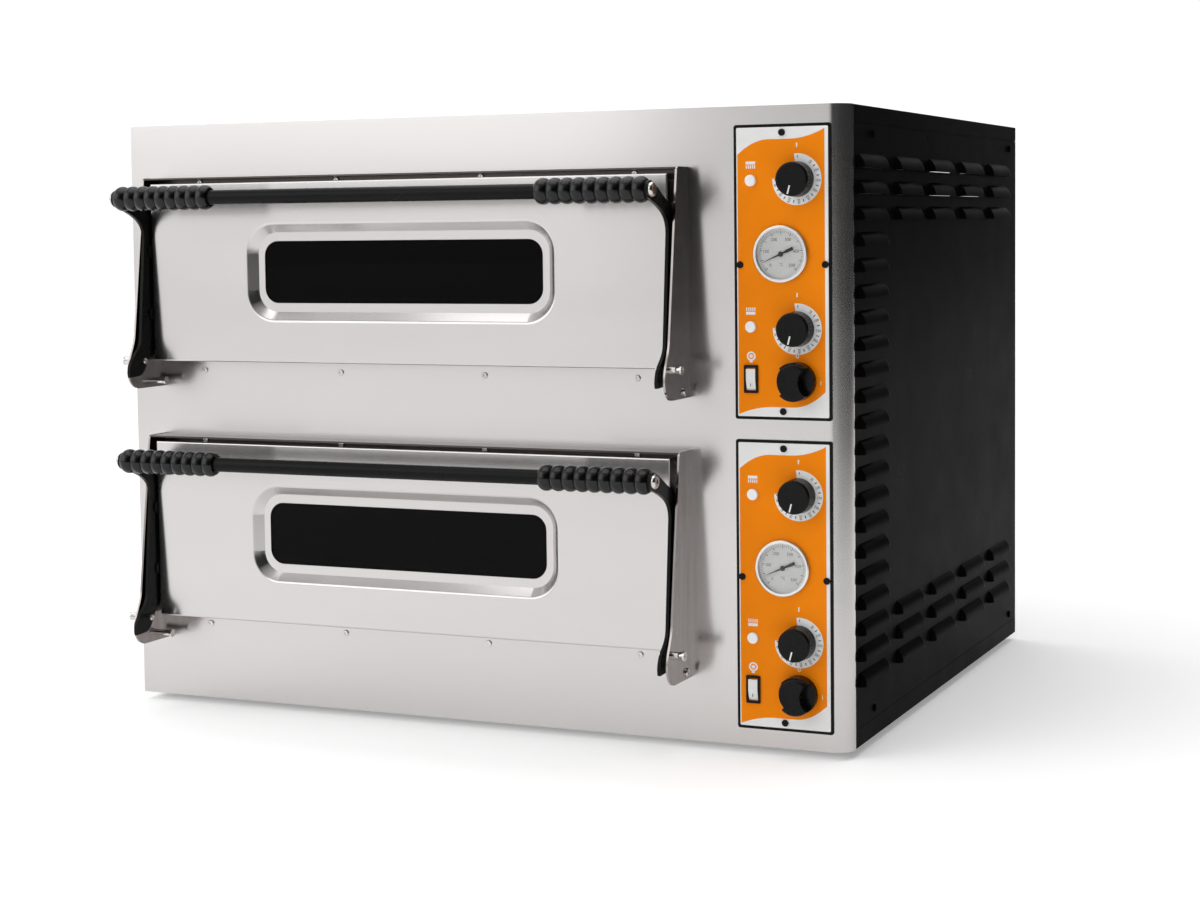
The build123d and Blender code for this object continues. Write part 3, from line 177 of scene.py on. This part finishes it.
def clear_pane(name, color, rough, tinted, ior):
    paint = Paint(name, color, rough, IOR=ior, Transmission_Weight=1.0)
    paint.vary_color(paint.noise(12.0, 3.0), tint(color, 1.0 - tinted), color)
    paint.vary_roughness(paint.noise(30.0, 5.0, 0.6), rough * 0.5, rough * 2.0)
    return paint.mat


def baked_stone(name):
    """Refractory stone: pale biscuit body, dark pores and scorched patches."""
    paint = Paint(name, (0.52, 0.43, 0.32), 0.9)
    paint.vary_color(paint.noise(22.0, 8.0, 0.7), (0.30, 0.23, 0.16), (0.62, 0.54, 0.42), 0.32, 0.62)
    paint.vary_roughness(paint.noise(150.0, 4.0), 0.8, 0.98)
    paint.bump(paint.noise(600.0, 6.0, 0.7), 0.0005, 0.6)
    return paint.mat


def mineral_wool(name):
    paint = Paint(name, (0.58, 0.50, 0.28), 0.95, Sheen_Weight=0.3)
    paint.vary_color(paint.noise((60.0, 60.0, 400.0), 6.0, 0.7), (0.36, 0.30, 0.15), (0.70, 0.62, 0.38))
    paint.vary_roughness(paint.noise(300.0, 3.0), 0.88, 1.0)
    paint.bump(paint.noise((300.0, 300.0, 900.0), 5.0, 0.7), 0.0008, 0.7)
    return paint.mat


def heated_liner(name):
    """Aluminised steel of the chamber, straw and blue from heat."""
    paint = Paint(name, (0.36, 0.34, 0.31), 0.38, metallic=0.9)
    paint.vary_color(paint.noise((4.0, 4.0, 9.0), 6.0, 0.6), (0.20, 0.17, 0.14), (0.46, 0.44, 0.42))
    paint.vary_roughness(paint.noise(30.0, 5.0), 0.3, 0.52)
    paint.bump(paint.noise(800.0, 3.0), 0.00006, 0.4)
    return paint.mat


def rubber(name):
    paint = Paint(name, (0.022, 0.022, 0.022), 0.75)
    paint.vary_color(paint.noise(60.0, 5.0), (0.014, 0.014, 0.014), (0.05, 0.05, 0.048))
    paint.vary_roughness(paint.noise(200.0, 3.0), 0.65, 0.88)
    paint.bump(paint.noise(1800.0, 3.0), 0.00008, 0.5)
    return paint.mat


STEEL = (0.575, 0.558, 0.550)
MATERIALS = {
    "fascia": brushed_sheet("brushed_fascia", STEEL, 0.21, anisotropic=0.6),
    "door": brushed_sheet("brushed_door", STEEL, 0.20, anisotropic=0.7),
    # painted shade: the steel lips are coloured near black, standing in for the shadowed gap line over each
    # door
    "lip": brushed_sheet("lip_steel_painted_shade", (0.10, 0.09, 0.085), 0.3),
    "bright": polished_plate("polished_steel", (0.62, 0.60, 0.58), 0.14),
    # painted shade: the cheeks are a darker copy of the polished steel, standing in for the dark reflections
    # on them
    "cheek": polished_plate("cheek_steel_painted_shade", (0.36, 0.33, 0.32), 0.12),
    "enamel": satin_enamel("black_enamel", (0.0030, 0.0030, 0.0032), 0.30, 0.004),
    "arm": satin_enamel("arm_enamel", (0.0030, 0.0030, 0.0030), 0.28, 0.12, 1500.0),
    "grip": moulded_plastic("grip_plastic", (0.0030, 0.0030, 0.0032), 0.20, 0.35, 2200.0),
    "knob": moulded_plastic("knob_plastic", (0.0030, 0.0030, 0.0030), 0.26, 0.15),
    "black": moulded_plastic("black_plastic", (0.005, 0.005, 0.005), 0.40, 0.15),
    "white": glossy_plastic("white_plastic", (0.84, 0.84, 0.82), 0.25),
    "lamp": glossy_plastic("lamp_lens", (0.95, 0.95, 0.95), 0.18, 0.6),
    "film": printed_film("white_film", (0.87, 0.87, 0.865)),
    "orange": printed_film("orange_print", (0.960, 0.255, 0.002), 0.36),
    "ink": printed_film("black_ink", (0.012, 0.012, 0.014), 0.45),
    "dial": printed_film("dial_white", (0.96, 0.96, 0.95), 0.5),
    "dial_ink": printed_film("dial_ink", (0.16, 0.16, 0.16), 0.5),
    "gauge": brushed_sheet("gauge_case", (0.72, 0.72, 0.71), 0.30, (900.0, 900.0, 900.0)),
    "needle": satin_enamel("needle_enamel", (0.010, 0.010, 0.010), 0.4, 0.2, 4000.0),
    "pane": clear_pane("door_pane", (0.050, 0.042, 0.037), 0.02, 0.3, 1.16),
    "clear": clear_pane("gauge_pane", (0.99, 0.99, 0.99), 0.012, 0.01, 1.35),
    "liner": heated_liner("heated_liner"),
    "dull": brushed_sheet("galvanised_sheet", (0.42, 0.42, 0.42), 0.45, (60.0, 60.0, 60.0)),
    "stone": baked_stone("baking_stone"),
    "wool": mineral_wool("mineral_wool"),
    "rubber": rubber("foot_rubber"),
}

LOOKS = {
    "fascia": ["front_panel"],
    "lip": ["upper_lip", "lower_lip"],
    "bright": ["hinge_pins", "cheek_studs", "fascia_screws"],
    "enamel": ["right_side_panel", "left_side_panel", "back_panel", "top_cover", "base_tray",
               "terminal_cover", "casing_screws"],
    "black": ["rocker_frames", "cable_gland", "thermostats", "selector_switches", "plate_screws"],
    "lamp": ["pilot_lamps"],
    "film": ["control_labels"],
    "gauge": ["gauge_cases"],
    "clear": ["gauge_glasses", "chamber_lamps"],
    "dull": ["compartment_wall", "heating_elements"],
    "stone": ["baking_stones"],
    "wool": ["insulation"],
    "rubber": ["feet"],
}
DECK_LOOKS = {
    "door": ["door_shell"], "cheek": ["cheeks"], "arm": ["arms", "handle_rod", "control_plate"],
    "grip": ["grips"], "bright": ["handle_screws"], "knob": ["top_knob", "bottom_knob", "selector_knob"],
    "white": ["rocker"], "needle": ["gauge_needle"], "pane": ["door_glass"],
    "liner": ["chamber", "door_liner"], "wool": ["door_insulation"],
}


def dress(node, look):
    """Gives a CAD node its material."""
    for slot in nodes[node].material_slots:
        slot.material = MATERIALS[look]


for look, members in LOOKS.items():
    for member in members:
        dress(member, look)
for look, members in DECK_LOOKS.items():
    for member in members:
        for deck in DECKS:
            dress(f"{deck}_{member}", look)


# ---------------------------------------------------------------- mesh helpers
def piece(name, mesh, look, body, smooth=False):
    """Links a finished mesh as a piece on a body."""
    made = bpy.data.objects.new(name, mesh)
    bpy.context.scene.collection.objects.link(made)
    made.data.materials.append(MATERIALS[look])
    for polygon in made.data.polygons:
        polygon.use_smooth = smooth
    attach(made, body)
    return made


def add_curve(bm, curve, place):
    """Meshes a curve datablock, moves it by the matrix `place` and adds it to bm."""
    holder = bpy.data.objects.new("outline", curve)
    bpy.context.scene.collection.objects.link(holder)
    depsgraph = bpy.context.evaluated_depsgraph_get()
    mesh = bpy.data.meshes.new_from_object(holder.evaluated_get(depsgraph))
    mesh.transform(place)
    bm.from_mesh(mesh)
    bpy.data.objects.remove(holder)
    bpy.data.curves.remove(curve)
    bpy.data.meshes.remove(mesh)


def add_slab(bm, outlines, y_back, thickness):
    """Adds a slab to bm from (x, z) outlines seen from the front; inner outlines are holes."""
    curve = bpy.data.curves.new("outline", "CURVE")
    curve.dimensions = "2D"
    curve.fill_mode = "BOTH"
    curve.extrude = thickness / 2
    for outline in outlines:
        spline = curve.splines.new("POLY")
        spline.points.add(len(outline) - 1)
        for point, (x, z) in zip(spline.points, outline):
            point.co = (x, z, 0, 1)
        spline.use_cyclic_u = True
    add_curve(bm, curve, Matrix.Translation((0, y_back - thickness / 2, 0)) @ Matrix.Rotation(pi / 2, 4, "X"))


def circle_outline(centre, radius, steps=72):
    turns = [2 * pi * step / steps for step in range(steps)]
    return [(centre[0] + radius * cos(turn), centre[1] + radius * sin(turn)) for turn in turns]


def box_outline(x, z, width, height):
    left, right = x - width / 2, x + width / 2
    low, high = z - height / 2, z + height / 2
    return [(left, low), (right, low), (right, high), (left, high)]


def add_ring(bm, centre, inner, outer, start, end, y_back, thickness, steps=72):
    """Adds a flat ring sector to bm; the angles are clockwise from the top, in degrees."""
    rows = []
    for step in range(steps + 1):
        turn = radians(start + (end - start) * step / steps)
        out = (sin(turn), cos(turn))
        rows.append([bm.verts.new((centre[0] + out[0] * r, y, centre[1] + out[1] * r))
                     for r, y in ((inner, y_back - thickness), (outer, y_back - thickness), (outer, y_back),
                                  (inner, y_back))])
    for first, second in zip(rows, rows[1:]):
        for side in range(4):
            nxt = (side + 1) % 4
            bm.faces.new((first[side], first[nxt], second[nxt], second[side]))
    bm.faces.new(list(reversed(rows[0])))
    bm.faces.new(rows[-1])


def add_bar(bm, centre, turn, near, far, width, y_back, thickness):
    """Adds a straight mark that points away from centre at `turn` degrees clockwise from the top."""
    angle = radians(turn)
    out = Vector((sin(angle), cos(angle)))
    side = Vector((out.y, -out.x)) * (width / 2)
    middle = Vector(centre)
    corners = [middle + out * near - side, middle + out * far - side, middle + out * far + side,
               middle + out * near + side]
    add_slab(bm, [[tuple(corner) for corner in corners]], y_back, thickness)


def add_words(bm, words, centre, size, y_back, thickness, turn=0.0):
    """Adds raised lettering to bm, centred on (x, z) and turned clockwise by `turn` degrees."""
    curve = bpy.data.curves.new("lettering", "FONT")
    curve.body = words
    curve.size = size
    curve.align_x = "CENTER"
    curve.align_y = "CENTER"
    curve.extrude = thickness / 2
    curve.resolution_u = 3
    place = Matrix.Translation((centre[0], y_back - thickness / 2, centre[1]))
    add_curve(bm, curve, place @ Matrix.Rotation(pi / 2, 4, "X") @ Matrix.Rotation(-radians(turn), 4, "Z"))


def finish_mesh(bm, name):
    bmesh.ops.recalc_face_normals(bm, faces=bm.faces)
    mesh = bpy.data.meshes.new(name)
    bm.to_mesh(mesh)
    bm.free()
    return mesh


# ---------------------------------------------------------------- printed films and dials
FILM_T = 0.15 * MM
RING_INNER = 15.0 * MM
RING_OUTER = 29.5 * MM
RING_SWEEP = 272.0          # degrees of the scale ring, clockwise from the top
GAUGE_HOLE_R = 30.2 * MM
DIAL_R = 29.2 * MM
DIAL_DEPTH = 1.0 * MM       # of the dial behind the film's face
FIELD_W = 105                # millimetres across the orange field, as are the FIELD values below
FIELD_LEFT = -54             # of the field's left edge from the plate's middle
FIELD_TOP = (152.5, 17, 11)  # level of the top edge, its dip on the left and its rise on the right
FIELD_BOTTOM = (155, 18.5, 9)
FIELD_STEPS = 40
SCALE_START = 40             # degrees of the first number, clockwise from the top
SCALE_STEP = 27
SCALE_MARKS = 9
SCALE_WORDS_R = 25.3 * MM
DIAL_START = 225             # degrees of the gauge's zero
DIAL_NUMBERS = 6
DIAL_NUMBER_STEP = 54
MARKS_PER_NUMBER = 10
DIAL_WORDS_R = 18.4 * MM
POINTER_TURN = 195.0         # degrees of a thermostat knob's pointer at rest
ROCKER_MARK_OUT = 3.35 * MM  # of the rocker's mark in front of the film's face
label_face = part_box("control_labels")[0].y
print_face = label_face - FILM_T


def plate_middle(deck):
    lo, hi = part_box(f"{deck}_control_plate")
    return (lo.x + hi.x) / 2, (lo.z + hi.z) / 2


def around(centre, radius, turn):
    """Point `radius` from centre, at `turn` degrees clockwise from the top."""
    return centre[0] + sin(radians(turn)) * radius, centre[1] + cos(radians(turn)) * radius


def wave(across, level, drop, rise):
    """Edge of the orange field: it climbs from `drop` under the level and ends `rise` over it."""
    start = max(0.0, 1 - across / 0.36)
    end = max(0.0, (across - 0.60) / 0.40)
    return level - drop * start ** 2 + rise * end ** 2


def print_field(deck):
    """Orange field with a waved top edge, the same edge turned round at the bottom, and the gauge's hole."""
    x, z = plate_middle(deck)
    steps = [index / FIELD_STEPS for index in range(FIELD_STEPS + 1)]
    right = FIELD_LEFT + FIELD_W
    top = [(x + (FIELD_LEFT + FIELD_W * t) * MM, z + wave(t, *FIELD_TOP) * MM) for t in steps]
    bottom = [(x + (right - FIELD_W * t) * MM, z - wave(t, *FIELD_BOTTOM) * MM) for t in steps]
    gauge = joint_at[f"{deck}_gauge_needle_turn"]
    bm = bmesh.new()
    add_slab(bm, [top + bottom, circle_outline((gauge.x, gauge.z), GAUGE_HOLE_R)], label_face, FILM_T)
    piece(f"{deck}_orange_print", finish_mesh(bm, "orange_print"), "orange", "casing")


def print_scales(deck):
    """White scale rings round the thermostat knobs, with black graduations and numbers."""
    rings = bmesh.new()
    marks = bmesh.new()
    ink_face = print_face - FILM_T
    for name in ("top", "bottom"):
        at = joint_at[f"{deck}_{name}_knob_turn"]
        centre = (at.x, at.z)
        add_ring(rings, centre, RING_INNER, RING_OUTER, -6, RING_SWEEP, print_face, FILM_T)
        add_bar(rings, centre, 0, RING_OUTER + 7 * MM, RING_OUTER + 12 * MM, 1.5 * MM, print_face, FILM_T)
        add_bar(marks, centre, 2, RING_OUTER - 5 * MM, RING_OUTER - 2 * MM, 0.8 * MM, ink_face, FILM_T / 2)
        for step in range(SCALE_MARKS):
            turn = SCALE_START + step * SCALE_STEP
            spot = around(centre, SCALE_WORDS_R, turn)
            add_words(marks, str((step + 1) * 50), spot, 4.2 * MM, ink_face, FILM_T / 2, turn - 90)
            halfway = turn + SCALE_STEP / 2
            add_bar(marks, centre, halfway, 24.0 * MM, 27.2 * MM, 1.0 * MM, ink_face, FILM_T / 2)
    piece(f"{deck}_scale_rings", finish_mesh(rings, "scale_rings"), "film", "casing")
    piece(f"{deck}_scale_marks", finish_mesh(marks, "scale_marks"), "ink", "casing")


def print_heat_symbol(bm, x, z, from_above):
    """A heater bar and the heat that streams off it, towards the middle of a chamber."""
    way = -1 if from_above else 1
    add_slab(bm, [box_outline(x, z - way * 2.4 * MM, 11.5 * MM, 3.4 * MM)], print_face, FILM_T)
    for step in range(5):
        add_slab(bm, [box_outline(x + (step - 2) * 2.5 * MM, z + way * 2.2 * MM, 1.3 * MM, 4.0 * MM)],
                 print_face, FILM_T)


def print_symbols(deck):
    """White symbols: heat from above and below over the pilot lamps, a lamp over the rocker, 0 and 1."""
    bm = bmesh.new()
    x, z = plate_middle(deck)
    print_heat_symbol(bm, x - 38.0 * MM, z + 123.5 * MM, True)
    print_heat_symbol(bm, x - 38.8 * MM, z - 44.5 * MM, False)
    rocker = joint_at[f"{deck}_rocker_tilt"]
    bulb = (rocker.x, rocker.z + 26.5 * MM)
    add_ring(bm, bulb, 3.6 * MM, 5.4 * MM, 0, 360, print_face, FILM_T, 32)
    add_ring(bm, bulb, 0.2 * MM, 2.2 * MM, 0, 360, print_face, FILM_T, 16)
    add_slab(bm, [box_outline(bulb[0], bulb[1] - 6.2 * MM, 3.6 * MM, 2.2 * MM)], print_face, FILM_T)
    selector = joint_at[f"{deck}_selector_knob_turn"]
    add_words(bm, "0", (selector.x, selector.z + 28.5 * MM), 8.0 * MM, print_face, FILM_T)
    add_words(bm, "1", (selector.x + 28.0 * MM, selector.z - 2 * MM), 7.0 * MM, print_face, FILM_T)
    piece(f"{deck}_symbols", finish_mesh(bm, "symbols"), "film", "casing")


def make_dial(deck):
    """Dial face at the bottom of the gauge's well, with its graduations and numbers."""
    at = joint_at[f"{deck}_gauge_needle_turn"]
    centre = (at.x, at.z)
    dial_y = label_face + DIAL_DEPTH
    ink_face = dial_y - FILM_T
    face = bmesh.new()
    marks = bmesh.new()
    add_ring(face, centre, 1.6 * MM, DIAL_R, 0, 360, dial_y, FILM_T, 96)
    for step in range((DIAL_NUMBERS - 1) * MARKS_PER_NUMBER + 1):
        long_mark = step % 5 == 0
        turn = DIAL_START + step * DIAL_NUMBER_STEP / MARKS_PER_NUMBER
        add_bar(marks, centre, turn, (23.0 if long_mark else 24.6) * MM, 26.6 * MM,
                (0.8 if long_mark else 0.45) * MM, ink_face, FILM_T / 2)
    for step in range(DIAL_NUMBERS):
        spot = around(centre, DIAL_WORDS_R, DIAL_START + step * DIAL_NUMBER_STEP)
        add_words(marks, str(step * 100), spot, 5.2 * MM, ink_face, FILM_T / 2)
    add_words(marks, "°C", (centre[0], centre[1] - 12.0 * MM), 5.0 * MM, ink_face, FILM_T / 2)
    piece(f"{deck}_dial", finish_mesh(face, "dial"), "dial", "casing")
    piece(f"{deck}_dial_marks", finish_mesh(marks, "dial_marks"), "dial_ink", "casing")


def make_knob_pointer(deck, name):
    """White pointer line inlaid in a thermostat knob's face."""
    knob = f"{deck}_{name}_knob"
    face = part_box(knob)[0].y
    at = joint_at[f"{knob}_turn"]
    bm = bmesh.new()
    add_bar(bm, (at.x, at.z), POINTER_TURN, 7.5 * MM, 17.4 * MM, 1.7 * MM, face + 0.3 * MM, 0.5 * MM)
    piece(f"{knob}_pointer", finish_mesh(bm, "pointer"), "white", knob)


def make_rocker_mark(deck):
    """Black line printed on the lower half of the rocker."""
    lo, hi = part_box(f"{deck}_rocker")
    x = (lo.x + hi.x) / 2
    z = (lo.z + hi.z) / 2
    bm = bmesh.new()
    add_slab(bm, [box_outline(x, z - 6.0 * MM, 0.7 * MM, 3.6 * MM)], label_face - ROCKER_MARK_OUT, FILM_T)
    piece(f"{deck}_rocker_mark", finish_mesh(bm, "rocker_mark"), "ink", f"{deck}_rocker")


for deck in DECKS:
    print_field(deck)
    print_scales(deck)
    print_symbols(deck)
    make_dial(deck)
    make_knob_pointer(deck, "top")
    make_knob_pointer(deck, "bottom")
    make_rocker_mark(deck)


# ---------------------------------------------------------------- studio
FLOOR_FRONT = -30.0
FLOOR_HALF_W = 18.0
SWEEP_START = 3.2           # where the floor begins to curve up
SWEEP_R = 1.5
SWEEP_STEPS = 16
BACKDROP_TOP = 6.0
CARD_FOOT = 0.02            # of the dark cards over the floor
CARD_TOP = 3.0
CARD_NAMES = ("back_card", "side_card", "front_card", "near_card")
CARD_CORNERS = ((1.15, 4.3), (2.9, 3.5), (2.9, -1.0), (1.7, -3.9), (0.3, -4.5))
CAMERA_YAW = radians(23.93)
CAMERA_PITCH = radians(-3.78)
CAMERA_ROLL = radians(-0.67)
CAMERA_LENS = 66.4
CAMERA_SHIFT = -0.0667
CAMERA_PLACE = (1.735, -2.408, 0.612)   # from the front panel's lowest left front corner


def studio_sheet():
    """Pale floor that sweeps up into a backdrop a few metres behind the oven."""
    profile = [(FLOOR_FRONT, 0.0), (SWEEP_START, 0.0)]
    for step in range(1, SWEEP_STEPS + 1):
        turn = pi / 2 * step / SWEEP_STEPS
        profile.append((SWEEP_START + SWEEP_R * sin(turn), SWEEP_R - SWEEP_R * cos(turn)))
    profile.append((SWEEP_START + SWEEP_R, BACKDROP_TOP))
    bm = bmesh.new()
    rows = [[bm.verts.new((x, y, z)) for y, z in profile] for x in (-FLOOR_HALF_W, FLOOR_HALF_W)]
    for index in range(len(profile) - 1):
        bm.faces.new((rows[0][index], rows[1][index], rows[1][index + 1], rows[0][index + 1]))
    sheet = bpy.data.objects.new("studio_sheet", finish_mesh(bm, "studio_sheet"))
    bpy.context.scene.collection.objects.link(sheet)
    paper = Paint("studio_paper", (0.94, 0.94, 0.94), 0.9, Specular_IOR_Level=0.0, Emission_Strength=0.30)
    paper.shader.inputs["Emission Color"].default_value = (1, 1, 1, 1)
    sheet.data.materials.append(paper.mat)
    for polygon in sheet.data.polygons:
        polygon.use_smooth = True


def dark_card(name, corner, far_corner):
    """Black card that stands just over the floor, unseen by the camera, and darkens what mirrors it."""
    bm = bmesh.new()
    foot = [(*corner, CARD_FOOT), (*far_corner, CARD_FOOT)]
    head = [(*far_corner, CARD_TOP), (*corner, CARD_TOP)]
    bm.faces.new([bm.verts.new(place) for place in foot + head])
    card = bpy.data.objects.new(name, finish_mesh(bm, name))
    bpy.context.scene.collection.objects.link(card)
    card.data.materials.append(Paint(f"{name}_black", (0.01, 0.01, 0.01), 0.9).mat)
    card.visible_camera = False


def soft_light(name, place, target, size, watts):
    light = bpy.data.lights.new(name, "AREA")
    light.shape = "RECTANGLE"
    light.size, light.size_y = size
    light.energy = watts
    holder = bpy.data.objects.new(name, light)
    bpy.context.scene.collection.objects.link(holder)
    holder.location = place
    holder.rotation_euler = (Vector(target) - Vector(place)).to_track_quat("-Z", "Y").to_euler()


def white_room(bright, dark):
    """Studio surroundings: bright all round but on the right and the front right, where they fade out."""
    world = bpy.data.worlds.new("white_room")
    world.use_nodes = True
    tree = world.node_tree
    background = tree.nodes["Background"]
    background.inputs["Color"].default_value = (1, 1, 1, 1)
    coords = tree.nodes.new("ShaderNodeTexCoord")
    facing = tree.nodes.new("ShaderNodeVectorMath")
    facing.operation = "DOT_PRODUCT"
    facing.inputs[1].default_value = (0.89, -0.45, 0.0)
    ranged = tree.nodes.new("ShaderNodeMapRange")
    ranged.inputs["From Min"].default_value = 0.05
    ranged.inputs["From Max"].default_value = 0.80
    ranged.inputs["To Min"].default_value = bright
    ranged.inputs["To Max"].default_value = dark
    tree.links.new(coords.outputs["Generated"], facing.inputs[0])
    tree.links.new(facing.outputs["Value"], ranged.inputs["Value"])
    tree.links.new(ranged.outputs["Result"], background.inputs["Strength"])
    bpy.context.scene.world = world


def make_camera():
    """Camera in front of the oven and to its right, level with the upper deck and turned to its front."""
    level = cos(CAMERA_PITCH)
    forward = Vector((-sin(CAMERA_YAW) * level, cos(CAMERA_YAW) * level, sin(CAMERA_PITCH)))
    right = forward.cross(Vector((0, 0, 1))).normalized()
    up = right.cross(forward)
    side = right * cos(CAMERA_ROLL) + up * sin(CAMERA_ROLL)
    top = up * cos(CAMERA_ROLL) - right * sin(CAMERA_ROLL)
    data = bpy.data.cameras.new("camera")
    data.sensor_width = 36.0
    data.lens = CAMERA_LENS
    data.shift_y = CAMERA_SHIFT
    camera = bpy.data.objects.new("camera", data)
    bpy.context.scene.collection.objects.link(camera)
    rotation = Matrix((side, top, -forward)).transposed().to_4x4()
    camera.matrix_world = Matrix.Translation(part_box("front_panel")[0] + Vector(CAMERA_PLACE)) @ rotation
    bpy.context.scene.camera = camera


studio_sheet()
for name, corner, far_corner in zip(CARD_NAMES, CARD_CORNERS, CARD_CORNERS[1:]):
    dark_card(name, corner, far_corner)
soft_light("key", (-3.0, -3.4, 2.4), (0, -0.3, 0.4), (4.4, 3.2), 55)
soft_light("top", (0.0, -0.2, 3.6), (0, 0, 0.4), (3.4, 3.4), 50)
white_room(0.85, 0.10)
make_camera()
bpy.context.scene.view_settings.view_transform = "Standard"
